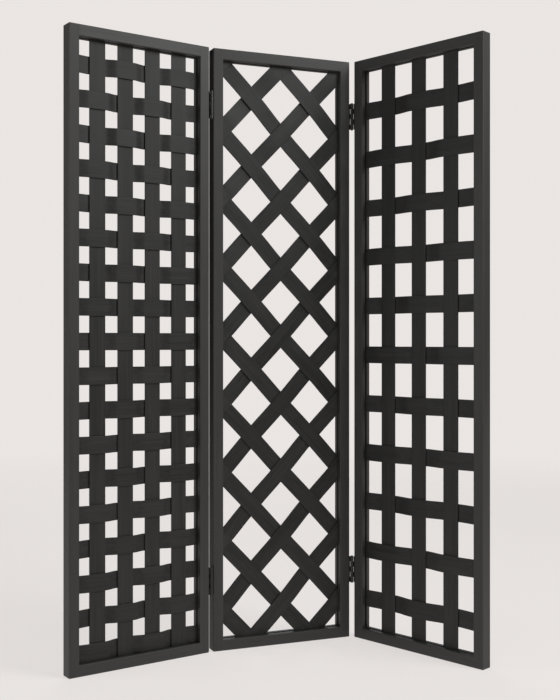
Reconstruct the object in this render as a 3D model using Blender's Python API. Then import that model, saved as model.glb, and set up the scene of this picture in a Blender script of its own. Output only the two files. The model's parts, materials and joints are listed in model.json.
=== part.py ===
"""Folding screen: three tall wooden panels with woven slats, joined by butt hinges.

Metres, +Z up. The middle panel lies along X, centred on the origin, with its front
towards -Y. The left panel is at -X and the right panel at +X, and all three stand on
z = 0. Each side panel turns about the pins of its two hinges, in front of the gap.
"""
import math

import bmesh
import bpy
from mathutils import Matrix, Vector

# Overall sizes
PANEL_HEIGHT = 1.700
PANEL_WIDTH = 0.432
FRAME_DEPTH = 0.036
JOINT_GAP = 0.013          # between neighbouring panels when they stand in one plane
FIT_GAP = 0.0003           # clearance between pieces that touch

# How far each side panel is folded towards the front, from standing in one plane
LEFT_FOLD = math.radians(11.8)
RIGHT_FOLD = math.radians(67.3)

# Frame members
STILE_WIDTH = 0.030
RAIL_HEIGHT = 0.031
EDGE_BEVEL = 0.0025
BEVEL_SEGMENTS = 2
GROOVE_WIDTH = 0.009
GROOVE_DEPTH = 0.009
GROOVE_STOP = 0.006        # solid wood left at each end of a stile
TENON_INSET = 0.0015       # clearance between a tenon and the ends of its groove
TOOL_REACH = 0.005         # how far a cutting or joining shape passes the surface
PARALLEL = 0.99            # least cosine between an edge and the axis it runs along

# Woven slats
SLAT_THICKNESS = 0.004
SLAT_WIDTH = 0.0466
WIDE_SLAT_WIDTH = 0.0490   # the right panel's crosswise slats
LEFT_UPRIGHTS = 4
LEFT_ROWS = 18
LEFT_MODELLED_ROWS = 17    # the lowest row, tucked against the rail, is left out
RIGHT_UPRIGHTS = 3
RIGHT_ROWS = 11
RIGHT_ROW_PITCH = 0.1432
LATTICE_COLUMNS = 2        # diagonal periods across the middle panel
LATTICE_PITCH = 0.1943     # height of one diagonal period
LATTICE_DROP = 0.002       # first crossings below the top rail
LATTICE_BITE = 0.0002      # how deep crossing strips are joined
FLAT_MARGIN = 0.002        # a slat stays flat this far past the slat it crosses

# Butt hinges
HINGE_LENGTH = 0.076
HINGE_HEIGHTS = {"lower": 0.200, "upper": 1.538}
AXIS_FORWARD = 0.002       # pin centre in front of the frames' front faces
KNUCKLES = 5
KNUCKLE_GAP = 0.0004
PIN_RADIUS = 0.0025
BORE_RADIUS = 0.0028
BARREL_RADIUS = 0.0046
LEAF_THICKNESS = 0.0018
LEAF_WIDTH = 0.022
LEAF_SETBACK = 0.0005      # leaf edge behind the frames' front faces
CURL_ANGLE = math.radians(290)
CURL_STEPS = 14
PIN_TIP_RADIUS = 0.0036
PIN_TIP_SHOULDER = 0.0009  # straight part of the tip, below its dome
PIN_TIP_DOME = 0.0013
PIN_TIP_STEPS = 3
PIN_SEGMENTS = 20

SHARP_ANGLE = math.radians(40)   # edges of round pieces stay sharp above this
MERGE_DISTANCE = 0.00003

# Finishes: linear colour, roughness, metallic
FRAME_PAINT = ((0.070, 0.069, 0.067), 0.55, 0.0)
SLAT_PAINT = ((0.036, 0.036, 0.034), 0.62, 0.0)
HINGE_STEEL = ((0.045, 0.045, 0.045), 0.42, 0.85)
PIN_STEEL = ((0.060, 0.060, 0.060), 0.35, 0.9)

INNER_LEFT = STILE_WIDTH
INNER_RIGHT = PANEL_WIDTH - STILE_WIDTH
INNER_BOTTOM = RAIL_HEIGHT
INNER_TOP = PANEL_HEIGHT - RAIL_HEIGHT
INNER_WIDTH = INNER_RIGHT - INNER_LEFT
INNER_HEIGHT = INNER_TOP - INNER_BOTTOM
HOUSED = GROOVE_DEPTH - FIT_GAP      # how far a slat's end runs into its groove
WEAVE_OFFSET = SLAT_THICKNESS + FIT_GAP   # of a crosswise slat, from mid depth
AXIS_OUT = (PANEL_WIDTH + JOINT_GAP) / 2
AXIS_FRONT = FRAME_DEPTH / 2 + AXIS_FORWARD
OVER = -1                            # towards the front, -Y
UNDER = 1


def clear_scene():
    """Start from an empty scene."""
    for item in list(bpy.data.objects):
        bpy.data.objects.remove(item, do_unlink=True)


def finish(name, colour, roughness, metallic):
    """A plain Principled material in one colour."""
    material = bpy.data.materials.new(name)
    material.use_nodes = True
    shader = material.node_tree.nodes["Principled BSDF"]
    shader.inputs["Base Color"].default_value = (*colour, 1.0)
    shader.inputs["Roughness"].default_value = roughness
    shader.inputs["Metallic"].default_value = metallic
    return material


def add_part(name, shape, look, place):
    """Turn a bmesh into a named object that stands at place = (parent, location)."""
    bmesh.ops.recalc_face_normals(shape, faces=shape.faces)
    mesh = bpy.data.meshes.new(name)
    shape.to_mesh(mesh)
    shape.free()
    mesh.materials.append(finish(name + "_finish", *look))
    part = bpy.data.objects.new(name, mesh)
    bpy.context.scene.collection.objects.link(part)
    parent, location = place
    part.parent = parent
    part.location = location
    return part


def add_box(shape, low, high):
    """Add a box between two corners to a bmesh, and return its edges."""
    centre = (Vector(low) + Vector(high)) / 2
    size = Vector(high) - Vector(low)
    matrix = Matrix.Translation(centre) @ Matrix.Diagonal((*size, 1.0))
    made = bmesh.ops.create_cube(shape, size=1.0, matrix=matrix)
    return list({edge for vertex in made["verts"] for edge in vertex.link_edges})


def box_shape(low, high, bevelled_axis=None):
    """A box, with the edges along one axis rounded if an axis is given."""
    shape = bmesh.new()
    edges = add_box(shape, low, high)
    if bevelled_axis is not None:
        along = [edge for edge in edges if edge_runs_along(edge, bevelled_axis)]
        bmesh.ops.bevel(
            shape, geom=along, offset=EDGE_BEVEL, segments=BEVEL_SEGMENTS, profile=0.5,
            affect="EDGES",
        )
    return shape


def edge_runs_along(edge, axis):
    """Whether an edge is parallel to axis 0, 1 or 2."""
    direction = edge.verts[1].co - edge.verts[0].co
    return abs(direction[axis]) > PARALLEL * direction.length


def combine(part, tool_shape, operation):
    """Cut a shape from a part, join it on, or keep what they share."""
    tool = add_part(part.name + "_tool", tool_shape, FRAME_PAINT, (part.parent, part.location))
    step = part.modifiers.new(operation.lower(), "BOOLEAN")
    step.operation = operation
    step.object = tool
    bpy.context.view_layer.update()
    evaluated = part.evaluated_get(bpy.context.evaluated_depsgraph_get())
    mesh = bpy.data.meshes.new_from_object(evaluated)
    part.modifiers.clear()
    part.data = mesh
    bpy.data.objects.remove(tool)


def panel_place(parent, left_edge, mid_depth):
    """Where the parts of a panel stand: x from its left edge, y from its mid depth."""
    return parent, Vector((left_edge, mid_depth, 0.0))


def stile(name, low_x, inner_x, place):
    """Full-height frame member, grooved along its inner edge for the slats."""
    half = FRAME_DEPTH / 2
    shape = box_shape((low_x, -half, 0), (low_x + STILE_WIDTH, half, PANEL_HEIGHT), 2)
    part = add_part(name, shape, FRAME_PAINT, place)
    groove = box_shape(
        (inner_x - GROOVE_DEPTH, -GROOVE_WIDTH / 2, GROOVE_STOP),
        (inner_x + GROOVE_DEPTH, GROOVE_WIDTH / 2, PANEL_HEIGHT - GROOVE_STOP),
    )
    combine(part, groove, "DIFFERENCE")


def rail(name, low_z, inner_z, place):
    """Crosswise frame member between the stiles, grooved, with a stub tenon each end."""
    half = FRAME_DEPTH / 2
    left = INNER_LEFT + FIT_GAP
    right = INNER_RIGHT - FIT_GAP
    shape = box_shape((left, -half, low_z), (right, half, low_z + RAIL_HEIGHT), 0)
    part = add_part(name, shape, FRAME_PAINT, place)
    groove = box_shape(
        (left - TOOL_REACH, -GROOVE_WIDTH / 2, inner_z - GROOVE_DEPTH),
        (right + TOOL_REACH, GROOVE_WIDTH / 2, inner_z + GROOVE_DEPTH),
    )
    combine(part, groove, "DIFFERENCE")
    outer_z = GROOVE_STOP + TENON_INSET
    tenon_height = RAIL_HEIGHT - GROOVE_DEPTH - TENON_INSET - outer_z
    tenon_low = outer_z
    if inner_z == INNER_TOP:
        tenon_low = PANEL_HEIGHT - outer_z - tenon_height
    tenon_half = GROOVE_WIDTH / 2 - FIT_GAP
    for shoulder, outward in ((left, -1), (right, 1)):
        root = shoulder - outward * TOOL_REACH
        tip = shoulder + outward * (GROOVE_DEPTH - 2 * FIT_GAP)
        tenon = box_shape(
            (min(root, tip), -tenon_half, tenon_low),
            (max(root, tip), tenon_half, tenon_low + tenon_height),
        )
        combine(part, tenon, "UNION")


def frame(panel, stile_names, place):
    """The four members of one panel's frame."""
    stile(f"{panel}_{stile_names[0]}_stile", 0.0, INNER_LEFT, place)
    stile(f"{panel}_{stile_names[1]}_stile", INNER_RIGHT, INNER_RIGHT, place)
    rail(f"{panel}_top_rail", INNER_TOP, INNER_TOP, place)
    rail(f"{panel}_bottom_rail", 0.0, INNER_BOTTOM, place)


def add_strip(shape, sections):
    """Add a closed bar that runs through four-cornered sections."""
    rings = [[shape.verts.new(corner) for corner in section] for section in sections]
    for near, far in zip(rings, rings[1:]):
        for i in range(4):
            j = (i + 1) % 4
            shape.faces.new((near[i], near[j], far[j], far[i]))
    shape.faces.new(reversed(rings[0]))
    shape.faces.new(rings[-1])


def wave_stations(start, end, crossings):
    """(distance, y offset) pairs of a slat that passes over and under the uprights."""
    half_flat = SLAT_WIDTH / 2 + FLAT_MARGIN
    stations = [(start, 0.0)]
    for centre, side in crossings:
        stations.append((centre - half_flat, side * WEAVE_OFFSET))
        stations.append((centre + half_flat, side * WEAVE_OFFSET))
    stations.append((end, 0.0))
    return stations


def slat(name, axis, centre, width, stations, place):
    """One woven slat: axis 0 runs across the panel, axis 2 runs upwards."""
    half_width = width / 2
    half_thickness = SLAT_THICKNESS / 2
    corners = ((-1, -1), (1, -1), (1, 1), (-1, 1))
    sections = []
    for distance, offset in stations:
        section = []
        for across, through in corners:
            y = offset + through * half_thickness
            side = centre + across * half_width
            section.append((distance, y, side) if axis == 0 else (side, y, distance))
        sections.append(section)
    shape = bmesh.new()
    add_strip(shape, sections)
    add_part(name, shape, SLAT_PAINT, place)


def even_centres(count, width):
    """Centres of uprights that leave equal gaps across the panel."""
    gap = (INNER_WIDTH - count * width) / (count + 1)
    return [INNER_LEFT + (i + 1) * gap + (i + 0.5) * width for i in range(count)]


def row_centres(count, width, pitch):
    """Centres of crosswise slats from the top down, with a full gap above each."""
    first = INNER_TOP - (pitch - width) - width / 2
    return [first - i * pitch for i in range(count)]


def plain_weave(panel, uprights, rows, row_width, modelled_rows, place):
    """Straight upright slats, and crosswise slats that pass over one and under the next."""
    up_start, up_end = INNER_BOTTOM - HOUSED, INNER_TOP + HOUSED
    for column, x in enumerate(uprights):
        stations = [(up_start, 0.0), (up_end, 0.0)]
        slat(f"{panel}_upright_slat_{column + 1}", 2, x, SLAT_WIDTH, stations, place)
    across_start, across_end = INNER_LEFT - HOUSED, INNER_RIGHT + HOUSED
    for row, z in enumerate(rows[:modelled_rows]):
        crossings = [
            (x, UNDER if (row + column) % 2 == 0 else OVER)
            for column, x in enumerate(uprights)
        ]
        stations = wave_stations(across_start, across_end, crossings)
        slat(f"{panel}_crosswise_slat_{row + 1:02d}", 0, z, row_width, stations, place)


def diagonal_strips(rise):
    """All strips of the lattice that climb (rise 1) or fall (rise -1) towards +X."""
    column = INNER_WIDTH / LATTICE_COLUMNS
    slope = LATTICE_PITCH / column
    half_upright = SLAT_WIDTH / 2 * math.hypot(1.0, slope)
    half_flat = half_upright / slope + FLAT_MARGIN
    offset = SLAT_THICKNESS / 2 - LATTICE_BITE / 2
    reach = HOUSED + 2 * TOOL_REACH
    shape = bmesh.new()
    top = INNER_TOP - LATTICE_DROP
    start_z = top if rise > 0 else top + LATTICE_COLUMNS * LATTICE_PITCH
    count = math.ceil((start_z - INNER_BOTTOM + half_upright) / LATTICE_PITCH) + LATTICE_COLUMNS
    for index in range(count):
        left_z = start_z - index * LATTICE_PITCH
        stations = []
        for half_column in range(2 * LATTICE_COLUMNS + 1):
            x = INNER_LEFT + half_column * column / 2
            side = OVER if (half_column % 2 == 0) == (rise > 0) else UNDER
            stations.append((x - half_flat, side * offset))
            stations.append((x + half_flat, side * offset))
        stations[0] = (INNER_LEFT - reach, stations[0][1])
        stations[-1] = (INNER_RIGHT + reach, stations[-1][1])
        add_lattice_strip(shape, stations, left_z, rise * slope, half_upright)
    return shape


def add_lattice_strip(shape, stations, left_z, slope, half_upright):
    """One diagonal strip, unless it would miss the opening."""
    heights = [left_z + slope * (x - INNER_LEFT) for x in (INNER_LEFT, INNER_RIGHT)]
    if min(heights) - half_upright > INNER_TOP or max(heights) + half_upright < INNER_BOTTOM:
        return
    half_thickness = SLAT_THICKNESS / 2
    sections = []
    for x, y in stations:
        z = left_z + slope * (x - INNER_LEFT)
        sections.append(
            (
                (x, y - half_thickness, z - half_upright),
                (x, y - half_thickness, z + half_upright),
                (x, y + half_thickness, z + half_upright),
                (x, y + half_thickness, z - half_upright),
            )
        )
    add_strip(shape, sections)


def lattice(name, place):
    """Diagonal woven grille of the middle panel, joined into one solid."""
    part = add_part(name, diagonal_strips(1), SLAT_PAINT, place)
    combine(part, diagonal_strips(-1), "UNION")
    opening = box_shape(
        (INNER_LEFT - HOUSED, -FRAME_DEPTH, INNER_BOTTOM - HOUSED),
        (INNER_RIGHT + HOUSED, FRAME_DEPTH, INNER_TOP + HOUSED),
    )
    combine(part, opening, "INTERSECT")


def leaf(name, side, odd_knuckles, place):
    """Hinge leaf on the stile at side +1 or -1 of the pin, rolled into knuckles."""
    outer_x = JOINT_GAP / 2 - FIT_GAP
    inner_x = outer_x - LEAF_THICKNESS
    front_y = AXIS_FORWARD + LEAF_SETBACK
    back_y = front_y + LEAF_WIDTH
    pitch = (HINGE_LENGTH + KNUCKLE_GAP) / KNUCKLES
    levels = []
    for i in range(KNUCKLES):
        low = -HINGE_LENGTH / 2 + i * pitch
        levels.extend((low, low + pitch - KNUCKLE_GAP))
    shape = bmesh.new()
    section = [(inner_x, front_y), (outer_x, front_y), (outer_x, back_y), (inner_x, back_y)]
    rings = [
        [shape.verts.new((side * x, y, z)) for x, y in section] for z in levels
    ]
    for level, (low, high) in enumerate(zip(rings, rings[1:])):
        has_knuckle = level % 2 == 0 and (level // 2 % 2 == 0) == odd_knuckles
        for i in range(4):
            if i == 0 and has_knuckle:
                roll_knuckle(shape, side, (inner_x, outer_x, front_y), (low, high))
            else:
                j = (i + 1) % 4
                shape.faces.new((low[i], low[j], high[j], high[i]))
    shape.faces.new(rings[0])
    shape.faces.new(rings[-1])
    part = add_part(name, shape, HINGE_STEEL, place)
    part.data.shade_smooth()
    part.data.set_sharp_from_angle(angle=SHARP_ANGLE)


def roll_knuckle(shape, side, edge, bands):
    """Curl the leaf's front edge round the pin, between two levels of the plate."""
    inner_x, outer_x, front_y = edge
    low, high = bands
    corner = math.hypot(inner_x, front_y)
    start = math.atan2(front_y, inner_x) - math.acos(BORE_RADIUS / corner)
    sections = [(low[0], low[1], high[1], high[0])]
    for step in range(CURL_STEPS + 1):
        angle = start - CURL_ANGLE * step / CURL_STEPS
        direction = Vector((side * math.cos(angle), math.sin(angle), 0.0))
        ring = []
        for radius, level in (
            (BORE_RADIUS, low), (BARREL_RADIUS, low), (BARREL_RADIUS, high), (BORE_RADIUS, high)
        ):
            point = direction * radius
            point.z = level[0].co.z
            ring.append(shape.verts.new(point))
        sections.append(ring)
    for near, far in zip(sections, sections[1:]):
        for i in range(4):
            j = (i + 1) % 4
            shape.faces.new((near[i], near[j], far[j], far[i]))
    shape.faces.new(sections[-1])


def pin(name, place):
    """Hinge pin with a small domed tip at each end."""
    half = HINGE_LENGTH / 2 + FIT_GAP
    upper = [(PIN_RADIUS, half), (PIN_TIP_RADIUS, half)]
    for step in range(PIN_TIP_STEPS + 1):
        angle = math.pi / 2 * step / PIN_TIP_STEPS
        radius = PIN_TIP_RADIUS * math.cos(angle)
        upper.append((radius, half + PIN_TIP_SHOULDER + PIN_TIP_DOME * math.sin(angle)))
    lower = [(radius, -z) for radius, z in reversed(upper)]
    shape = bmesh.new()
    profile = [shape.verts.new((radius, 0.0, z)) for radius, z in lower + upper]
    edges = [shape.edges.new(pair) for pair in zip(profile, profile[1:])]
    bmesh.ops.spin(
        shape, geom=profile + edges, cent=(0, 0, 0), axis=(0, 0, 1),
        angle=math.tau, steps=PIN_SEGMENTS, use_merge=True,
    )
    bmesh.ops.remove_doubles(shape, verts=shape.verts, dist=MERGE_DISTANCE)
    part = add_part(name, shape, PIN_STEEL, place)
    part.data.shade_smooth()
    part.data.set_sharp_from_angle(angle=SHARP_ANGLE)


def hinge(joint, level, axis_x, outward, fold_axis):
    """One butt hinge: two leaves and the pin. outward is the side panel's direction."""
    height = HINGE_HEIGHTS[level]
    fixed = (None, Vector((axis_x, -AXIS_FRONT, height)))
    swinging = (fold_axis, Vector((0.0, 0.0, height)))
    leaf(f"{joint}_{level}_hinge_middle_leaf", -outward, True, fixed)
    leaf(f"{joint}_{level}_hinge_side_leaf", outward, False, swinging)
    pin(f"{joint}_{level}_hinge_pin", fixed)


def fold_axis_at(name, axis_x, angle):
    """Empty on a joint's axis. Everything on that side panel is its child."""
    empty = bpy.data.objects.new(name, None)
    bpy.context.scene.collection.objects.link(empty)
    empty.location = (axis_x, -AXIS_FRONT, 0.0)
    empty.rotation_euler = (0.0, 0.0, angle)
    return empty


def build():
    """The whole screen."""
    clear_scene()
    left_axis = fold_axis_at("left_fold_axis", -AXIS_OUT, LEFT_FOLD)
    right_axis = fold_axis_at("right_fold_axis", AXIS_OUT, -RIGHT_FOLD)
    left = panel_place(left_axis, -JOINT_GAP / 2 - PANEL_WIDTH, AXIS_FRONT)
    middle = panel_place(None, -PANEL_WIDTH / 2, 0.0)
    right = panel_place(right_axis, JOINT_GAP / 2, AXIS_FRONT)

    frame("left", ("outer", "inner"), left)
    frame("middle", ("left", "right"), middle)
    frame("right", ("inner", "outer"), right)

    plain_weave(
        "left",
        even_centres(LEFT_UPRIGHTS, SLAT_WIDTH),
        row_centres(LEFT_ROWS, SLAT_WIDTH, INNER_HEIGHT / LEFT_ROWS),
        SLAT_WIDTH,
        LEFT_MODELLED_ROWS,
        left,
    )
    plain_weave(
        "right",
        even_centres(RIGHT_UPRIGHTS, SLAT_WIDTH),
        row_centres(RIGHT_ROWS, WIDE_SLAT_WIDTH, RIGHT_ROW_PITCH),
        WIDE_SLAT_WIDTH,
        RIGHT_ROWS,
        right,
    )
    lattice("middle_diagonal_lattice", middle)

    for level in HINGE_HEIGHTS:
        hinge("left", level, -AXIS_OUT, -1, left_axis)
        hinge("right", level, AXIS_OUT, 1, right_axis)


build()
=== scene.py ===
"""Finished look of a folding screen: three hinged frames woven with wooden slats.

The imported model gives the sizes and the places. Each panel is made in coordinates of
its own: x from the panel's left edge, y from its mid depth with the front towards -y,
and z up. Finished members, slats, hinge leaves, pins and screws stand for the plain
solids, and each one rides on the body of its panel.
"""
import itertools
import json
import math

import bmesh
import bpy
from mathutils import Matrix, Vector


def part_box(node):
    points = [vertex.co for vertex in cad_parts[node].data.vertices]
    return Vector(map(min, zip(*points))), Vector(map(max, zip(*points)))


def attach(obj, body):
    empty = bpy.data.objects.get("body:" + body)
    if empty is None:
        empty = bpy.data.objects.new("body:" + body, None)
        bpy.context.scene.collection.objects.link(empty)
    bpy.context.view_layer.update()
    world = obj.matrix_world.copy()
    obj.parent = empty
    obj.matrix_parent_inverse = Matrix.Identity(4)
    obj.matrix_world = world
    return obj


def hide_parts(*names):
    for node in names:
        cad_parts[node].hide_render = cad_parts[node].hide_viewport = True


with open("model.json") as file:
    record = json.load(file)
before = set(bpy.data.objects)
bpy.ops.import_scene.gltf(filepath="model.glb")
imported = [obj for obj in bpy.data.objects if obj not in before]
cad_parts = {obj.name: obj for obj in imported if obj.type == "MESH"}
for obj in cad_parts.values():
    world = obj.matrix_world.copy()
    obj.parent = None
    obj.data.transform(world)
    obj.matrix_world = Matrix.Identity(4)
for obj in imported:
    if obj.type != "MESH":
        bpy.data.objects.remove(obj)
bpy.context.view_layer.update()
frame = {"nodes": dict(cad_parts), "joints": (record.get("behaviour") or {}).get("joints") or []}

# Frame members
ARRIS_RADIUS = 0.0025      # rounding of every long edge and of the stiles' ends
ARC_STEPS = 6
GROOVE_WIDTH = 0.0090
GROOVE_DEPTH = 0.0090
GROOVE_STOP = 0.0060       # solid wood left at each end of a stile
GROOVE_EASE = 0.0004       # chamfer on the groove's lips
SHOULDER_GAP = 0.00005     # between a rail's shoulder and the stile
TENON_INSET = 0.0015
TENON_CLEARANCE = 0.0003
TENON_ROOT = 0.005         # how far a tenon's block starts inside the rail

# Woven slats
SLAT_THICKNESS = 0.0040
SLAT_EDGE_RADIUS = 0.0010
SLAT_EDGE_STEPS = 3
SLAT_GAP = 0.0003          # between slats that cross
BEND_STEPS = 9             # sections in each bend between two crossings
FLAT_MARGIN = 0.002        # a slat stays flat this far past the slat it crosses
HOUSED = 0.0087            # length of a slat's end inside the frame's groove
WEAVE_OFFSET = SLAT_THICKNESS + SLAT_GAP   # of a crosswise slat, from mid depth
OVER = -1                  # towards the front, -y
UNDER = 1

# Diagonal lattice of the middle panel
LATTICE_COLUMNS = 2
LATTICE_PITCH = 0.1943
LATTICE_DROP = 0.002

# Butt hinges
KNUCKLES = 5
KNUCKLE_GAP = 0.0004
BORE_RADIUS = 0.0028
BARREL_RADIUS = 0.0046
LEAF_THICKNESS = 0.0018
LEAF_WIDTH = 0.022
LEAF_SETBACK = 0.0005
LEAF_CLEARANCE = 0.0003    # between the leaf and the stile
LEAF_CORNER = 0.0035
LEAF_CORNER_STEPS = 6
CURL_ANGLE = math.radians(290)
CURL_STEPS = 28
PIN_RADIUS = 0.0025
PIN_TIP_RADIUS = 0.0036
PIN_TIP_HEIGHT = 0.0022
PIN_TIP_EDGE = 0.0002
PIN_TIP_SHOULDER = 0.0006  # straight part of the tip, below its dome
PIN_TIP_STEPS = 8
SCREWS = 3
SCREW_SPREAD = 0.027       # from the middle screw to the next one
SCREW_LINE = 0.55          # share of the leaf's width from its front edge
SCREW_HEAD_RADIUS = 0.0033
SCREW_HEAD_EDGE = 0.0002
SCREW_SHANK_RADIUS = 0.0017
SCREW_HEAD_HEIGHT = 0.0015
SCREW_LENGTH = 0.014
SCREW_RECESS = 0.0009
SCREW_ARM = (0.55, 0.16)   # half length and half width of the cross, in head radii
SCREW_SINK = 0.0001        # head below the leaf's face
SCREW_NECK = 0.0030        # plain shank between the head and the thread
SCREW_POINT = 0.0015
SCREW_RUN_OUT = 0.0020     # no thread this close to the tip
THREAD_PITCH = 0.0012
THREAD_ROOT = 0.78         # share of the shank's radius
POINT_RADIUS = 0.6         # the same, where the point starts
TURN_STEPS = 32

SHARP_ANGLE = math.radians(35)
MERGE_DISTANCE = 0.000002

# Paint: noise frequencies per metre, across, through and along the grain
FIBRES = (240.0, 240.0, 5.0)
STREAKS = (45.0, 45.0, 1.3)
PORES = (1500.0, 1500.0, 70.0)
WOOD_CLOUD = (7.0, 7.0, 2.2)
SPRAY = (900.0, 900.0, 900.0)
FIBRE_SHARE = 0.50         # of the difference between the dark and the light colour
STREAK_SHARE = 0.22
CLOUD_SHARE = 0.28
EDGE_WEAR_AND_HIGHLIGHT = (0.25, 0.90)   # least and most lightening along an arris: partly wear, partly a painted highlight
PAINT_SPECULAR = 0.26
PAINT_RELIEF = 0.5
PORE_RELIEF = 0.50         # compared with the fibres
SPRAY_RELIEF = 0.35
GRAIN_SHIFT = Vector((0.37, 0.61, 1.13))   # from one piece's figure to the next one's

# Metal: noise frequencies per metre
BRUSHING = (2600.0, 2600.0, 160.0)
METAL_CLOUD = (160.0, 160.0, 120.0)
SCUFFS = (420.0, 420.0, 90.0)
PITS = (3000.0, 3000.0, 3000.0)
SCUFF_LIMITS = (0.56, 0.76)
SCUFF_SHARE = 0.3
METALLIC = 0.9
METAL_RELIEF = 0.4
METAL_RELIEF_DEPTH = 0.00003

CLOUD_GLOSS = 0.05         # change of roughness from patch to patch
METAL_CLOUD_GLOSS = 0.06
LINE_GLOSS = 0.04          # and from fibre to fibre, or along the brushing
WARMTH = 0.02

# Camera
CAMERA_PLACE = (-1.2826, -2.7452, 0.8748)
CAMERA_YAW = math.radians(-20.614)
CAMERA_LENS = 53.54
CAMERA_SENSOR = 36.0
CAMERA_SHIFT = (0.1143, -0.0129)

# Stage
FLOOR_RADIUS = 6.0
FLOOR_EDGES = 96
FLOOR_DROP = 0.0002
FLOOR_FADE = (2.0, 5.5)    # distances between which the floor turns clear
FLOOR_DARK = (0.245, 0.235, 0.229, 1.0)
FLOOR_LIGHT = (0.255, 0.245, 0.239, 1.0)
FLOOR_CLOUD = 1.5          # noise frequency per metre
FLOOR_ROUGHNESS = 0.85
FLOOR_SPECULAR = 0.15
BACKDROP = (0.823, 0.787, 0.768)
ROOM_LIGHT = 0.03
FLOOR_GLOW = 0.77          # keeps the shadows on the floor faint
# name, place, target, width and height, power
SOFTBOXES = (
    ("key", (2.3, -2.75, 3.2), (0.0, 0.0, 1.0), (2.0, 2.0), 110.0),
    ("left", (-3.4, 0.1, 1.4), (0.0, -0.2, 0.9), (2.0, 2.0), 40.0),
    ("fill", (-1.65, -2.85, 1.8), (0.0, 0.0, 0.9), (2.0, 2.0), 14.0),
    ("overhead", (0.6, -1.0, 3.4), (0.0, 0.0, 0.9), (2.0, 2.0), 12.0),
    ("back", (1.1, 4.0, 2.8), (0.0, 0.0, 0.9), (3.0, 2.4), 60.0),
)

JOINTS = {joint["name"]: joint for joint in frame["joints"]}
FIRST_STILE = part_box("middle_left_stile")
LAST_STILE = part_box("middle_right_stile")
STILE_WIDTH = FIRST_STILE[1].x - FIRST_STILE[0].x
FRAME_DEPTH = FIRST_STILE[1].y - FIRST_STILE[0].y
PANEL_HEIGHT = FIRST_STILE[1].z
PANEL_WIDTH = LAST_STILE[1].x - FIRST_STILE[0].x
RAIL_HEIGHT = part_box("middle_bottom_rail")[1].z
INNER_LEFT = STILE_WIDTH
INNER_RIGHT = PANEL_WIDTH - STILE_WIDTH
INNER_BOTTOM = RAIL_HEIGHT
INNER_TOP = PANEL_HEIGHT - RAIL_HEIGHT
RIGHT = Vector((1, 0, 0))
UP = Vector((0, 0, 1))


# Places


def folded(name):
    """Matrix of a side panel's joint: its pin axis at floor level, turned as at rest."""
    joint = JOINTS[name + "_fold"]
    turn = Matrix.Rotation(math.radians(-joint["range_deg"][0]), 4, Vector(joint["axis"]))
    return Matrix.Translation((*joint["pos_m"][:2], 0)) @ turn


def panel_place(name):
    """Matrix from a panel's own coordinates to the room."""
    if name == "middle":
        return Matrix.Translation((FIRST_STILE[0].x, 0, 0))
    axis_x, axis_y, _ = JOINTS[name + "_fold"]["pos_m"]
    gap = abs(axis_x) - PANEL_WIDTH / 2
    left_edge = gap if axis_x > 0 else -gap - PANEL_WIDTH
    return folded(name) @ Matrix.Translation((left_edge, -axis_y, 0))


def extent(node, place):
    """Lowest and highest corner of a CAD node in its panel's coordinates."""
    back = place.inverted()
    points = [back @ vertex.co for vertex in frame["nodes"][node].data.vertices]
    low = Vector([min(point[i] for point in points) for i in range(3)])
    high = Vector([max(point[i] for point in points) for i in range(3)])
    return low, high


# Materials


def add_node(tree, kind, inputs=None, **properties):
    """Add a shader node. An input is either a value or another node's output."""
    made = tree.nodes.new(kind)
    for key, value in properties.items():
        setattr(made, key, value)
    for key, value in (inputs or {}).items():
        if isinstance(value, bpy.types.NodeSocket):
            tree.links.new(value, made.inputs[key])
        else:
            made.inputs[key].default_value = value
    return made


def stretched_noise(tree, coordinates, stretch, detail, roughness=0.5):
    """Noise at its own frequency across, through and along the grain."""
    scaled = add_node(
        tree, "ShaderNodeVectorMath", {0: coordinates, 1: stretch}, operation="MULTIPLY"
    )
    noise = add_node(
        tree,
        "ShaderNodeTexNoise",
        {"Vector": scaled.outputs[0], "Scale": 1.0, "Detail": detail, "Roughness": roughness},
    )
    return noise.outputs["Fac"]


def remap(tree, value, low, high, start=0.35, end=0.65):
    """Spread a noise's middle range over low to high."""
    return add_node(
        tree,
        "ShaderNodeMapRange",
        {"Value": value, "From Min": start, "From Max": end, "To Min": low, "To Max": high},
    ).outputs["Result"]


def blend_colour(tree, factor, first, second):
    """Mix two colours, given as colours or as outputs."""
    mix = add_node(tree, "ShaderNodeMix", data_type="RGBA")
    for index, value in ((0, factor), (6, first), (7, second)):
        if isinstance(value, bpy.types.NodeSocket):
            tree.links.new(value, mix.inputs[index])
        else:
            mix.inputs[index].default_value = value
    return mix.outputs[2]


def arithmetic(tree, operation, first, second):
    """One step of arithmetic on two numbers or outputs."""
    return add_node(
        tree, "ShaderNodeMath", {0: first, 1: second}, operation=operation
    ).outputs[0]


def grey(value, warmth=0.0):
    """A colour close to grey, slightly warm."""
    return (value * (1 + warmth), value, value * (1 - 1.5 * warmth), 1.0)


def new_material(name):
    """Empty Principled material, with its node tree and shader."""
    material = bpy.data.materials.new(name)
    material.use_nodes = True
    return material, material.node_tree, material.node_tree.nodes["Principled BSDF"]


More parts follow.
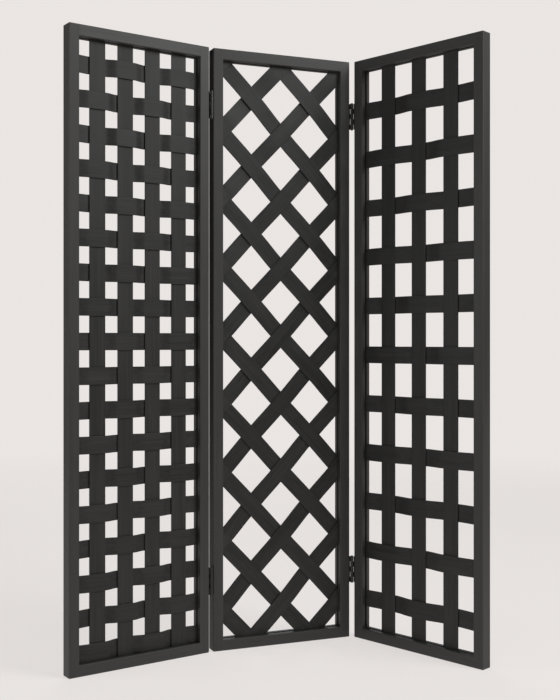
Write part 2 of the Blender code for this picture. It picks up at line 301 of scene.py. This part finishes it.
def painted_wood(name, dark, light, lightest, roughness, grain_depth):
    """Thin black paint on wood: fibres and pores show through, and the rounded edges are lighter,
    partly from wear and partly as a painted highlight.
    """
    material, tree, shader = new_material(name)
    grain = add_node(tree, "ShaderNodeAttribute", attribute_name="grain").outputs["Vector"]
    # Mask of the rounded edges, lightened by wear and by a painted highlight.
    edge_wear_and_highlight = add_node(tree, "ShaderNodeAttribute", attribute_name="edge_wear_and_highlight").outputs["Fac"]
    fibres = stretched_noise(tree, grain, FIBRES, 5.0, 0.6)
    streaks = stretched_noise(tree, grain, STREAKS, 3.0)
    pores = stretched_noise(tree, grain, PORES, 2.0)
    cloud = stretched_noise(tree, grain, WOOD_CLOUD, 2.0)
    spray = stretched_noise(tree, grain, SPRAY, 2.0)

    figure = arithmetic(
        tree, "ADD", remap(tree, fibres, 0.0, FIBRE_SHARE), remap(tree, streaks, 0.0, STREAK_SHARE)
    )
    figure = arithmetic(tree, "ADD", figure, remap(tree, cloud, 0.0, CLOUD_SHARE))
    painted = blend_colour(tree, figure, dark, light)
    # Rounded edges mix towards the lightest colour: partly wear, partly a painted highlight.
    lighter_mix = arithmetic(tree, "MULTIPLY", edge_wear_and_highlight, remap(tree, streaks, *EDGE_WEAR_AND_HIGHLIGHT))
    tree.links.new(blend_colour(tree, lighter_mix, painted, lightest), shader.inputs["Base Color"])

    matt = remap(tree, cloud, roughness - CLOUD_GLOSS, roughness + CLOUD_GLOSS)
    matt = arithmetic(tree, "ADD", matt, remap(tree, fibres, -LINE_GLOSS, LINE_GLOSS))
    tree.links.new(matt, shader.inputs["Roughness"])
    shader.inputs["Specular IOR Level"].default_value = PAINT_SPECULAR

    relief = arithmetic(tree, "ADD", fibres, arithmetic(tree, "MULTIPLY", pores, PORE_RELIEF))
    relief = arithmetic(tree, "ADD", relief, arithmetic(tree, "MULTIPLY", spray, SPRAY_RELIEF))
    bump = add_node(
        tree,
        "ShaderNodeBump",
        {"Height": relief, "Strength": PAINT_RELIEF, "Distance": grain_depth},
    )
    tree.links.new(bump.outputs["Normal"], shader.inputs["Normal"])
    return material


def coated_metal(name, dark, light, lightest, roughness):
    """Black finish on steel, scuffed in small patches."""
    material, tree, shader = new_material(name)
    grain = add_node(tree, "ShaderNodeAttribute", attribute_name="grain").outputs["Vector"]
    brushed = stretched_noise(tree, grain, BRUSHING, 3.0)
    cloud = stretched_noise(tree, grain, METAL_CLOUD, 3.0)
    scuffs = stretched_noise(tree, grain, SCUFFS, 4.0)
    pits = stretched_noise(tree, grain, PITS, 2.0)
    coated = blend_colour(tree, remap(tree, cloud, 0.0, 1.0), dark, light)
    lighter_mix = remap(tree, scuffs, 0.0, SCUFF_SHARE, *SCUFF_LIMITS)
    tree.links.new(blend_colour(tree, lighter_mix, coated, lightest), shader.inputs["Base Color"])
    satin = arithmetic(
        tree,
        "ADD",
        remap(tree, cloud, roughness - METAL_CLOUD_GLOSS, roughness + METAL_CLOUD_GLOSS),
        remap(tree, brushed, -LINE_GLOSS, LINE_GLOSS),
    )
    tree.links.new(satin, shader.inputs["Roughness"])
    shader.inputs["Metallic"].default_value = METALLIC
    relief = arithmetic(tree, "ADD", brushed, pits)
    bump = add_node(
        tree,
        "ShaderNodeBump",
        {"Height": relief, "Strength": METAL_RELIEF, "Distance": METAL_RELIEF_DEPTH},
    )
    tree.links.new(bump.outputs["Normal"], shader.inputs["Normal"])
    return material


# dark, light and lightest colour (on wood the lightest is the edges' wear and painted highlight),
# roughness, and depth of the grain
FRAME_PAINT = painted_wood(
    "frame_paint", grey(0.036, WARMTH), grey(0.052, WARMTH), grey(0.085, WARMTH), 0.52, 0.00025
)
SLAT_PAINT = painted_wood(
    "slat_paint", grey(0.014, WARMTH), grey(0.038, WARMTH), grey(0.070, WARMTH), 0.55, 0.00035
)
HINGE_METAL = coated_metal("hinge_metal", grey(0.045), grey(0.060), grey(0.110, WARMTH), 0.42)
PIN_METAL = coated_metal("pin_metal", grey(0.050), grey(0.068), grey(0.130, WARMTH), 0.40)
SCREW_METAL = coated_metal("screw_metal", grey(0.050), grey(0.068), grey(0.150, WARMTH), 0.40)


# Mesh tools


def quarter(steps):
    """Sine and cosine at even steps over a quarter turn, from 0 to 90 degrees."""
    angles = [math.pi / 2 * step / steps for step in range(steps + 1)]
    return [(math.sin(angle), math.cos(angle)) for angle in angles]


def skin(rings):
    """Closed bar through rings of points, with a face over each end."""
    shape = bmesh.new()
    loops = [[shape.verts.new(point) for point in ring] for ring in rings]
    for near, far in zip(loops, loops[1:]):
        for i in range(len(near)):
            j = (i + 1) % len(near)
            shape.faces.new((near[i], near[j], far[j], far[i]))
    shape.faces.new(reversed(loops[0]))
    shape.faces.new(loops[-1])
    bmesh.ops.remove_doubles(shape, verts=shape.verts, dist=MERGE_DISTANCE)
    return shape


def block(low, high):
    """Box between two corners."""
    shape = bmesh.new()
    size = Vector(high) - Vector(low)
    centre = (Vector(low) + Vector(high)) / 2
    matrix = Matrix.Translation(centre) @ Matrix.Diagonal((*size, 1.0))
    bmesh.ops.create_cube(shape, size=1.0, matrix=matrix)
    return shape


def turned(profile):
    """Solid of revolution about z through (radius, height) pairs."""
    shape = bmesh.new()
    points = [shape.verts.new((radius, 0.0, height)) for radius, height in profile]
    edges = [shape.edges.new(pair) for pair in zip(points, points[1:])]
    bmesh.ops.spin(
        shape, geom=points + edges, cent=(0, 0, 0), axis=(0, 0, 1),
        angle=math.tau, steps=TURN_STEPS, use_merge=True,
    )
    bmesh.ops.remove_doubles(shape, verts=shape.verts, dist=MERGE_DISTANCE)
    return shape


def mesh_of(name, shape):
    """Turn a bmesh into a mesh with its faces pointing out."""
    bmesh.ops.recalc_face_normals(shape, faces=shape.faces)
    mesh = bpy.data.meshes.new(name)
    shape.to_mesh(mesh)
    shape.free()
    return mesh


def combined(mesh, tool_shape, operation):
    """The mesh joined with a shape, or cut by it."""
    base = bpy.data.objects.new("base", mesh)
    tool = bpy.data.objects.new("tool", mesh_of("tool", tool_shape))
    for item in (base, tool):
        bpy.context.scene.collection.objects.link(item)
    step = base.modifiers.new("combine", "BOOLEAN")
    step.operation = operation
    step.object = tool
    bpy.context.view_layer.update()
    result = bpy.data.meshes.new_from_object(
        base.evaluated_get(bpy.context.evaluated_depsgraph_get())
    )
    for item in (base, tool):
        bpy.data.objects.remove(item)
    return result


def mark_grain(mesh, across, along, edge_wear_and_highlight_from=None):
    """Store where each point lies across, through and along the grain, and how much its edge is
    lightened.

    Long edges are lightened, partly as wear and partly as a painted highlight, where they are
    rounded and at least edge_wear_and_highlight_from from mid depth.
    """
    mesh.materials.clear()
    shift = GRAIN_SHIFT * next(piece_numbers)
    through = Vector((0, 1, 0))
    mesh.attributes.new("grain", "FLOAT_VECTOR", "POINT")
    mesh.attributes.new("edge_wear_and_highlight", "FLOAT", "POINT")
    grain = mesh.attributes["grain"]
    edge_wear_and_highlight = mesh.attributes["edge_wear_and_highlight"]
    for i, vertex in enumerate(mesh.vertices):
        point = [vertex.co.dot(axis) for axis in (across, through, along)]
        grain.data[i].vector = Vector(point) + shift
        # Rounded long edges take the mask for wear and a painted highlight.
        if edge_wear_and_highlight_from is not None and abs(vertex.co.y) >= edge_wear_and_highlight_from:
            edge_wear_and_highlight.data[i].value = roundness(vertex.normal, across, through)


def roundness(normal, across, through):
    """0 where a face is square to the grain's section, 1 midway round its edges."""
    parts = (abs(normal.dot(across)), abs(normal.dot(through)))
    length = math.hypot(*parts)
    if length < MERGE_DISTANCE:
        return 0.0
    return min(1.0, (1.0 - max(parts) / length) / (1.0 - math.sqrt(0.5)))


def add_piece(name, mesh, place, look, body):
    """Place a finished mesh as a piece that rides on a body."""
    material, slot_name = look
    mesh.name = name
    mesh.materials.append(material)
    mesh.shade_smooth()
    mesh.set_sharp_from_angle(angle=SHARP_ANGLE)
    piece = bpy.data.objects.new(name, mesh)
    bpy.context.scene.collection.objects.link(piece)
    piece.matrix_world = place
    piece.modifiers.new("even_shading", "WEIGHTED_NORMAL").keep_sharp = True
    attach(piece, body)
    return piece


FRAME_LOOK = (FRAME_PAINT, "frame_wood")
SLAT_LOOK = (SLAT_PAINT, "slat_wood")
HINGE_LOOK = (HINGE_METAL, "hinge_metal")
PIN_LOOK = (PIN_METAL, "pin_metal")
SCREW_LOOK = (SCREW_METAL, "hinge_metal")
piece_numbers = itertools.count(1)


# Frames


def member_outline(width, inset, inner_limit, groove_depth):
    """Outline of a frame member as (from the outer face, from mid depth) pairs.

    inset rounds the member's end, inner_limit is how deep the rounding of the inner
    edges may go, and the groove runs along the middle of the inner face.
    """
    radius = ARRIS_RADIUS
    half = FRAME_DEPTH / 2
    ease = min(GROOVE_EASE, groove_depth)
    front = []
    for sine, cosine in quarter(ARC_STEPS):
        reach = radius - inset
        front.append((radius - reach * cosine, -half + radius - reach * sine))
    for sine, cosine in quarter(ARC_STEPS):
        depth = max(min(radius - radius * cosine, inner_limit), inset)
        front.append((width - radius + radius * sine, -half + depth))
    front.append((width, -GROOVE_WIDTH / 2 - ease))
    front.append((width - ease, -GROOVE_WIDTH / 2))
    front.append((width - groove_depth, -GROOVE_WIDTH / 2))
    back = [(across, -through) for across, through in reversed(front)]
    return front + back


def stile_levels():
    """(height, inset, inner limit, groove depth) of a stile's sections, upwards."""
    radius = ARRIS_RADIUS
    lower = []
    for sine, cosine in quarter(ARC_STEPS):
        lower.append((radius - radius * cosine, radius - radius * sine, 0.0, 0.0))
    lower.append((GROOVE_STOP, 0.0, 0.0, 0.0))
    lower.append((GROOVE_STOP, 0.0, 0.0, GROOVE_DEPTH))
    for sine, cosine in quarter(ARC_STEPS):
        height = INNER_BOTTOM - radius + radius * sine
        lower.append((height, 0.0, radius - radius * cosine, GROOVE_DEPTH))
    upper = [(PANEL_HEIGHT - height, *rest) for height, *rest in reversed(lower)]
    return lower + upper


def stile_mesh(side):
    """Stile at the panel's left (side -1) or right (side 1) edge."""
    rings = []
    for height, *shape in stile_levels():
        outline = member_outline(STILE_WIDTH, *shape)
        if side < 0:
            rings.append([(across, through, height) for across, through in outline])
        else:
            rings.append(
                [(PANEL_WIDTH - across, through, height) for across, through in outline]
            )
    return mesh_of("stile", skin(rings))


def rail_mesh(is_top):
    """Rail between the stiles, with a stub tenon at each end."""
    left = INNER_LEFT + SHOULDER_GAP
    right = INNER_RIGHT - SHOULDER_GAP
    outline = member_outline(RAIL_HEIGHT, 0.0, ARRIS_RADIUS, GROOVE_DEPTH)
    if is_top:
        outline = [(PANEL_HEIGHT - across, through) for across, through in outline]
    rings = [[(x, through, z) for z, through in outline] for x in (left, right)]
    mesh = mesh_of("rail", skin(rings))
    tenon_low = GROOVE_STOP + TENON_INSET
    tenon_high = RAIL_HEIGHT - GROOVE_DEPTH - TENON_INSET
    if is_top:
        tenon_low, tenon_high = PANEL_HEIGHT - tenon_high, PANEL_HEIGHT - tenon_low
    half = GROOVE_WIDTH / 2 - TENON_CLEARANCE
    length = GROOVE_DEPTH - TENON_CLEARANCE
    for root, tip in (
        (left + TENON_ROOT, left - length),
        (right - TENON_ROOT, right + length),
    ):
        low = (min(root, tip), -half, tenon_low)
        high = (max(root, tip), half, tenon_high)
        mesh = combined(mesh, block(low, high), "UNION")
    return mesh


def add_member(node, mesh, across, along, place, body):
    """One painted frame member in place of its CAD node."""
    edge = FRAME_DEPTH / 2 - ARRIS_RADIUS - MERGE_DISTANCE
    mark_grain(mesh, across, along, edge)
    piece = add_piece(node + "_finished", mesh, place, FRAME_LOOK, body)
    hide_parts(node)


def build_frame(panel, stile_names, place, body):
    """Two stiles and two rails."""
    for stile_name, side in zip(stile_names, (-1, 1)):
        add_member(f"{panel}_{stile_name}_stile", stile_mesh(side), RIGHT, UP, place, body)
    for is_top, rail_name in ((True, "top"), (False, "bottom")):
        add_member(f"{panel}_{rail_name}_rail", rail_mesh(is_top), UP, RIGHT, place, body)


# Slats


def slat_outline(width):
    """Slat's section with rounded edges, as (across, through) pairs."""
    radius = SLAT_EDGE_RADIUS
    reach_across = width / 2 - radius
    reach_through = SLAT_THICKNESS / 2 - radius
    arc = quarter(SLAT_EDGE_STEPS)
    corner = [(reach_across + radius * c, reach_through + radius * s) for s, c in arc]
    upper = corner + [(-across, through) for across, through in reversed(corner)]
    return upper + [(across, -through) for across, through in reversed(upper)]


def slat_path(start, end, crossings, half_flat, offset):
    """(distance, offset) pairs of a slat that passes over and under its crossings."""
    keys = []
    for centre, side in crossings:
        for distance in (centre - half_flat, centre + half_flat):
            keys.append((min(max(distance, start), end), side * offset))
    if keys[0][0] > start + HOUSED:
        keys = [(start, 0.0), (start + HOUSED, 0.0), *keys]
    if keys[-1][0] < end - HOUSED:
        keys = [*keys, (end - HOUSED, 0.0), (end, 0.0)]
    path = [keys[0]]
    for (near, near_y), (far, far_y) in zip(keys, keys[1:]):
        if far - near < MERGE_DISTANCE:
            continue
        steps = 1 if near_y == far_y else BEND_STEPS
        for step in range(1, steps + 1):
            share = step / steps
            ease = share * share * (3 - 2 * share)
            path.append((near + (far - near) * share, near_y + (far_y - near_y) * ease))
    return path


def slat_rings(path, width, origin, across, along):
    """Rings of points along a slat's path."""
    outline = slat_outline(width)
    rings = []
    for distance, offset in path:
        centre = origin + along * distance
        rings.append(
            [centre + across * a + Vector((0, through + offset, 0)) for a, through in outline]
        )
    return rings


def add_slat(name, shape, axes, place, body, nodes):
    """One painted slat, in place of the CAD nodes it stands for."""
    mesh = mesh_of("slat", shape)
    mark_grain(mesh, *axes, edge_wear_and_highlight_from=0.0)
    piece = add_piece(name, mesh, place, SLAT_LOOK, body)
    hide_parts(*nodes)


def woven_slats(panel, uprights, rows, place, body):
    """Straight upright slats, and crosswise slats that pass over and under them.

    uprights and rows are (node, centre, width) with rows from the top down; the node
    is None for a slat that has no solid of its own.
    """
    down_to, up_to = INNER_BOTTOM - HOUSED, INNER_TOP + HOUSED
    for node, x, width in uprights:
        rings = slat_rings([(down_to, 0.0), (up_to, 0.0)], width, RIGHT * x, RIGHT, UP)
        add_slat(node + "_finished", skin(rings), (RIGHT, UP), place, body, [node])
    left_to, right_to = INNER_LEFT - HOUSED, INNER_RIGHT + HOUSED
    half_flat = uprights[0][2] / 2 + FLAT_MARGIN
    for row, (node, z, width) in enumerate(rows):
        crossings = [
            (x, UNDER if (row + column) % 2 == 0 else OVER)
            for column, (_, x, _) in enumerate(uprights)
        ]
        path = slat_path(left_to, right_to, crossings, half_flat, WEAVE_OFFSET)
        rings = slat_rings(path, width, UP * z, UP, RIGHT)
        name = f"{panel}_crosswise_slat_{row + 1:02d}_finished"
        add_slat(name, skin(rings), (UP, RIGHT), place, body, [node] if node else [])


def read_slats(panel, kind, place):
    """(node, centre, width) of a panel's slats, in the order of their names."""
    axis = 0 if kind == "upright" else 2
    found = []
    for node in sorted(frame["nodes"]):
        if node.startswith(f"{panel}_{kind}_slat_"):
            low, high = extent(node, place)
            found.append((node, (low[axis] + high[axis]) / 2, high[axis] - low[axis]))
    return found


def trimmed(shape, point, outward):
    """Saw a shape off at a plane and close the cut."""
    geometry = [*shape.verts, *shape.edges, *shape.faces]
    bmesh.ops.bisect_plane(
        shape, geom=geometry, dist=MERGE_DISTANCE,
        plane_co=point, plane_no=outward, clear_outer=True,
    )
    open_edges = [edge for edge in shape.edges if edge.is_boundary]
    if open_edges:
        bmesh.ops.holes_fill(shape, edges=open_edges)


def diagonal_slats(rise, place, body):
    """The middle panel's slats that climb (rise 1) or fall (rise -1) towards the right."""
    column = (INNER_RIGHT - INNER_LEFT) / LATTICE_COLUMNS
    slope = LATTICE_PITCH / column
    along = Vector((1, 0, rise * slope)).normalized()
    across = Vector((-along.z, 0, along.x))
    stretch = 1 / along.x
    width = LATTICE_SLAT_WIDTH
    lean = abs(along.x ** 2 - along.z ** 2)
    half_flat = width / 2 * (1 + lean) / (2 * along.x * abs(along.z)) + FLAT_MARGIN
    crossings = []
    for half_column in range(-1, 2 * LATTICE_COLUMNS + 2):
        side = OVER if (half_column % 2 == 0) == (rise > 0) else UNDER
        crossings.append((half_column * column / 2 * stretch, side))
    start = crossings[0][0]
    end = crossings[-1][0]
    path = slat_path(start, end, crossings, half_flat, WEAVE_OFFSET / 2)
    half_upright = width / 2 * stretch
    top = INNER_TOP - LATTICE_DROP
    climb = rise * LATTICE_COLUMNS * LATTICE_PITCH
    left_z = top if rise > 0 else top - climb
    word = "rising" if rise > 0 else "falling"
    number = 0
    while max(left_z, left_z + climb) + half_upright > INNER_BOTTOM:
        if min(left_z, left_z + climb) - half_upright < INNER_TOP:
            number += 1
            origin = Vector((INNER_LEFT, 0, left_z))
            shape = skin(slat_rings(path, width, origin, across, along))
            for point, outward in (
                ((INNER_LEFT - HOUSED, 0, 0), -RIGHT),
                ((INNER_RIGHT + HOUSED, 0, 0), RIGHT),
                ((0, 0, INNER_BOTTOM - HOUSED), -UP),
                ((0, 0, INNER_TOP + HOUSED), UP),
            ):
                trimmed(shape, point, outward)
            name = f"middle_{word}_slat_{number:02d}"
            nodes = ["middle_diagonal_lattice"]
            add_slat(name, shape, (across, along), place, body, nodes)
        left_z -= LATTICE_PITCH


# Hinges


def leaf_mesh(side, odd_knuckles, length, reach):
    """Hinge leaf at side 1 or -1 of the pin, rolled round it, drilled for its screws."""
    outer_x = reach - LEAF_CLEARANCE
    inner_x = outer_x - LEAF_THICKNESS
    front_y = BARREL_FORWARD + LEAF_SETBACK
    back_y = front_y + LEAF_WIDTH
    pitch = (length + KNUCKLE_GAP) / KNUCKLES
    levels = []
    for i in range(KNUCKLES):
        low = -length / 2 + i * pitch
        levels.extend((low, low + pitch - KNUCKLE_GAP))
    section = [(inner_x, front_y), (outer_x, front_y), (outer_x, back_y), (inner_x, back_y)]
    shape = bmesh.new()
    rings = [[shape.verts.new((side * x, y, z)) for x, y in section] for z in levels]
    for level, (low, high) in enumerate(zip(rings, rings[1:])):
        has_knuckle = level % 2 == 0 and (level // 2 % 2 == 0) == odd_knuckles
        for i in range(4):
            j = (i + 1) % 4
            if i == 0 and has_knuckle:
                roll_knuckle(shape, side, (inner_x, front_y), (low, high))
            else:
                shape.faces.new((low[i], low[j], high[j], high[i]))
    shape.faces.new(rings[0])
    shape.faces.new(rings[-1])
    corners = [
        edge for edge in shape.edges
        if all(v.co.y > back_y - MERGE_DISTANCE for v in edge.verts)
        and abs(edge.verts[0].co.z - edge.verts[1].co.z) < MERGE_DISTANCE
        and abs(edge.verts[0].co.z) > length / 2 - MERGE_DISTANCE
    ]
    bmesh.ops.bevel(
        shape, geom=corners, offset=LEAF_CORNER, segments=LEAF_CORNER_STEPS,
        profile=0.5, affect="EDGES",
    )
    mesh = mesh_of("leaf", shape)
    for height in screw_heights():
        mesh = combined(mesh, screw_seat(side, inner_x, height), "DIFFERENCE")
    return mesh


def roll_knuckle(shape, side, edge, bands):
    """Curl the leaf's front edge round the pin, between two levels of the plate."""
    inner_x, front_y = edge
    low, high = bands
    corner = math.hypot(inner_x, front_y)
    start = math.atan2(front_y, inner_x) - math.acos(BORE_RADIUS / corner)
    sections = [(low[0], low[1], high[1], high[0])]
    corners = (
        (BORE_RADIUS, low), (BARREL_RADIUS, low), (BARREL_RADIUS, high), (BORE_RADIUS, high)
    )
    for step in range(CURL_STEPS + 1):
        angle = start - CURL_ANGLE * step / CURL_STEPS
        sections.append(
            [
                shape.verts.new(
                    (side * radius * math.cos(angle), radius * math.sin(angle), level[0].co.z)
                )
                for radius, level in corners
            ]
        )
    for near, far in zip(sections, sections[1:]):
        for i in range(4):
            j = (i + 1) % 4
            shape.faces.new((near[i], near[j], far[j], far[i]))
    shape.faces.new(sections[-1])


def screw_heights():
    """Heights of a leaf's screws from its middle."""
    return [(i - (SCREWS - 1) / 2) * SCREW_SPREAD for i in range(SCREWS)]


def screw_place(side, inner_x, height):
    """Matrix of a screw that points away from the pin, its head in the leaf's face."""
    turn = Matrix.Rotation(side * math.pi / 2, 4, (0, 1, 0))
    middle_y = BARREL_FORWARD + LEAF_SETBACK + LEAF_WIDTH * SCREW_LINE
    return Matrix.Translation((side * inner_x, middle_y, height)) @ turn


def screw_seat(side, inner_x, height):
    """Countersunk hole through a leaf, as a cutting shape."""
    ease = SCREW_SINK
    shape = turned(
        [
            (0.0, -LEAF_THICKNESS),
            (SCREW_HEAD_RADIUS + 2 * ease, -LEAF_THICKNESS),
            (SCREW_HEAD_RADIUS + 2 * ease, ease),
            (SCREW_SHANK_RADIUS + 2 * ease, SCREW_HEAD_HEIGHT + ease),
            (SCREW_SHANK_RADIUS + 2 * ease, 2 * LEAF_THICKNESS),
            (0.0, 2 * LEAF_THICKNESS),
        ]
    )
    shape.transform(screw_place(side, inner_x, height))
    return shape


def screw_mesh():
    """Countersunk screw with a cross recess, its axis along z and its head at z = 0."""
    head, shank = SCREW_HEAD_RADIUS, SCREW_SHANK_RADIUS
    profile = [
        (0.0, SCREW_SINK),
        (head - SCREW_HEAD_EDGE, SCREW_SINK),
        (head, SCREW_SINK + SCREW_HEAD_EDGE),
        (shank, SCREW_HEAD_HEIGHT + SCREW_SINK),
    ]
    thread_start = SCREW_HEAD_HEIGHT + SCREW_NECK
    turns = int((SCREW_LENGTH - thread_start - SCREW_RUN_OUT) / THREAD_PITCH)
    for turn in range(turns):
        height = thread_start + turn * THREAD_PITCH
        profile += [(shank * THREAD_ROOT, height), (shank, height + THREAD_PITCH / 2)]
    profile += [(shank * POINT_RADIUS, SCREW_LENGTH - SCREW_POINT), (0.0, SCREW_LENGTH)]
    mesh = mesh_of("screw", turned(profile))
    long, short = (head * share for share in SCREW_ARM)
    for half_x, half_y in ((long, short), (short, long)):
        low = (-half_x, -half_y, -SCREW_RECESS)
        high = (half_x, half_y, SCREW_RECESS)
        mesh = combined(mesh, block(low, high), "DIFFERENCE")
    return mesh


def pin_mesh(length):
    """Hinge pin with a rounded tip at each end."""
    half = length / 2 + LEAF_CLEARANCE
    upper = [
        (PIN_RADIUS, half),
        (PIN_TIP_RADIUS - PIN_TIP_EDGE, half),
        (PIN_TIP_RADIUS, half + PIN_TIP_EDGE),
    ]
    shoulder = half + PIN_TIP_SHOULDER
    dome = PIN_TIP_HEIGHT - PIN_TIP_SHOULDER
    for sine, cosine in quarter(PIN_TIP_STEPS):
        upper.append((PIN_TIP_RADIUS * cosine, shoulder + dome * sine))
    lower = [(radius, -height) for radius, height in reversed(upper)]
    return mesh_of("pin", turned(lower + upper))


def build_hinge(joint, level):
    """Two leaves, their screws and the pin of one hinge."""
    axis_x, axis_y, _ = JOINTS[joint + "_fold"]["pos_m"]
    prefix = f"{joint}_{level}_hinge"
    leaf_low, leaf_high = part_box(prefix + "_middle_leaf")
    length = leaf_high.z - leaf_low.z
    height = (leaf_high.z + leaf_low.z) / 2
    outward = 1 if axis_x > 0 else -1
    reach = abs(axis_x) - PANEL_WIDTH / 2
    lift = Matrix.Translation((0, 0, height))
    fixed = Matrix.Translation((axis_x, axis_y, 0)) @ lift
    for word, side, body, place in (
        ("middle", -outward, "middle_panel", fixed),
        ("side", outward, joint + "_panel", folded(joint) @ lift),
    ):
        node = f"{prefix}_{word}_leaf"
        mesh = leaf_mesh(side, word == "middle", length, reach)
        mark_grain(mesh, RIGHT, UP)
        leaf = add_piece(node + "_finished", mesh, place, HINGE_LOOK, body)
        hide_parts(node)
        inner_x = reach - LEAF_CLEARANCE - LEAF_THICKNESS
        for number, screw_height in enumerate(screw_heights(), start=1):
            screw = screw_mesh()
            mark_grain(screw, RIGHT, UP)
            add_piece(
                f"{node}_screw_{number}",
                screw,
                place @ screw_place(side, inner_x, screw_height),
                SCREW_LOOK,
                body,
            )
    mesh = pin_mesh(length)
    mark_grain(mesh, RIGHT, UP)
    pin = add_piece(prefix + "_pin_finished", mesh, fixed, PIN_LOOK, "middle_panel")
    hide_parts(prefix + "_pin")


# The screen

BARREL_FORWARD = -JOINTS["left_fold"]["pos_m"][1] - FRAME_DEPTH / 2
LATTICE_SLAT_WIDTH = read_slats("left", "upright", panel_place("left"))[0][2]

for panel_name, stiles in (
    ("left", ("outer", "inner")),
    ("middle", ("left", "right")),
    ("right", ("inner", "outer")),
):
    build_frame(panel_name, stiles, panel_place(panel_name), panel_name + "_panel")

for panel_name in ("left", "right"):
    place = panel_place(panel_name)
    rows = read_slats(panel_name, "crosswise", place)
    if panel_name == "left":
        # The lowest row, tucked against the bottom rail, has no solid of its own.
        pitch = rows[-2][1] - rows[-1][1]
        rows.append((None, rows[-1][1] - pitch, rows[-1][2]))
    uprights = read_slats(panel_name, "upright", place)
    woven_slats(panel_name, uprights, rows, place, panel_name + "_panel")

for rise in (1, -1):
    diagonal_slats(rise, panel_place("middle"), "middle_panel")

for joint_name in ("left", "right"):
    for level_name in ("lower", "upper"):
        build_hinge(joint_name, level_name)


# Stage


def build_floor():
    """Pale seamless floor that fades out well away from the screen."""
    shape = bmesh.new()
    bmesh.ops.create_circle(shape, cap_ends=True, radius=FLOOR_RADIUS, segments=FLOOR_EDGES)
    shape.transform(Matrix.Translation((0, 0, -FLOOR_DROP)))
    floor = bpy.data.objects.new("floor", mesh_of("floor", shape))
    bpy.context.scene.collection.objects.link(floor)
    material, tree, shader = new_material("floor")
    place = add_node(tree, "ShaderNodeTexCoord").outputs["Object"]
    cloud = add_node(
        tree, "ShaderNodeTexNoise", {"Vector": place, "Scale": FLOOR_CLOUD, "Detail": 3.0}
    )
    tint = blend_colour(tree, cloud.outputs["Fac"], FLOOR_DARK, FLOOR_LIGHT)
    tree.links.new(tint, shader.inputs["Base Color"])
    shader.inputs["Emission Color"].default_value = (*BACKDROP, 1.0)
    shader.inputs["Emission Strength"].default_value = FLOOR_GLOW
    shader.inputs["Roughness"].default_value = FLOOR_ROUGHNESS
    shader.inputs["Specular IOR Level"].default_value = FLOOR_SPECULAR
    distance = add_node(
        tree, "ShaderNodeVectorMath", {0: place}, operation="LENGTH"
    ).outputs["Value"]
    fade = add_node(
        tree,
        "ShaderNodeMapRange",
        {"Value": distance, "From Min": FLOOR_FADE[0], "From Max": FLOOR_FADE[1]},
        interpolation_type="SMOOTHSTEP",
    ).outputs["Result"]
    clear = add_node(tree, "ShaderNodeBsdfTransparent")
    mix = add_node(
        tree,
        "ShaderNodeMixShader",
        {0: fade, 1: shader.outputs[0], 2: clear.outputs[0]},
    )
    tree.links.new(mix.outputs[0], tree.nodes["Material Output"].inputs["Surface"])
    floor.data.materials.append(material)


def build_room_light():
    """Pale surroundings, dimmer as a light than they look."""
    world = bpy.data.worlds.new("room")
    bpy.context.scene.world = world
    world.use_nodes = True
    tree = world.node_tree
    tree.nodes.clear()
    seen = add_node(tree, "ShaderNodeBackground", {"Color": (*BACKDROP, 1.0), "Strength": 1.0})
    cast = add_node(
        tree, "ShaderNodeBackground", {"Color": (*BACKDROP, 1.0), "Strength": ROOM_LIGHT}
    )
    path = add_node(tree, "ShaderNodeLightPath")
    mix = add_node(
        tree,
        "ShaderNodeMixShader",
        {0: path.outputs["Is Camera Ray"], 1: cast.outputs[0], 2: seen.outputs[0]},
    )
    output = add_node(tree, "ShaderNodeOutputWorld")
    tree.links.new(mix.outputs[0], output.inputs["Surface"])


def add_softbox(name, place, target, size, power):
    """Large rectangular light aimed at a point."""
    light = bpy.data.lights.new(name, "AREA")
    light.shape = "RECTANGLE"
    light.size, light.size_y = size
    light.energy = power
    lamp = bpy.data.objects.new(name, light)
    bpy.context.scene.collection.objects.link(lamp)
    lamp.location = place
    aim = Vector(target) - Vector(place)
    lamp.rotation_euler = aim.to_track_quat("-Z", "Y").to_euler()


def build_camera():
    """Level camera in front of the screen, to its left and about half as high."""
    data = bpy.data.cameras.new("camera")
    data.sensor_width = CAMERA_SENSOR
    data.lens = CAMERA_LENS
    data.shift_x, data.shift_y = CAMERA_SHIFT
    camera = bpy.data.objects.new("camera", data)
    bpy.context.scene.collection.objects.link(camera)
    camera.location = CAMERA_PLACE
    camera.rotation_euler = (math.pi / 2, 0.0, CAMERA_YAW)
    bpy.context.scene.camera = camera


build_floor()
build_room_light()
for softbox in SOFTBOXES:
    add_softbox(*softbox)
build_camera()
bpy.context.scene.view_settings.view_transform = "Standard"
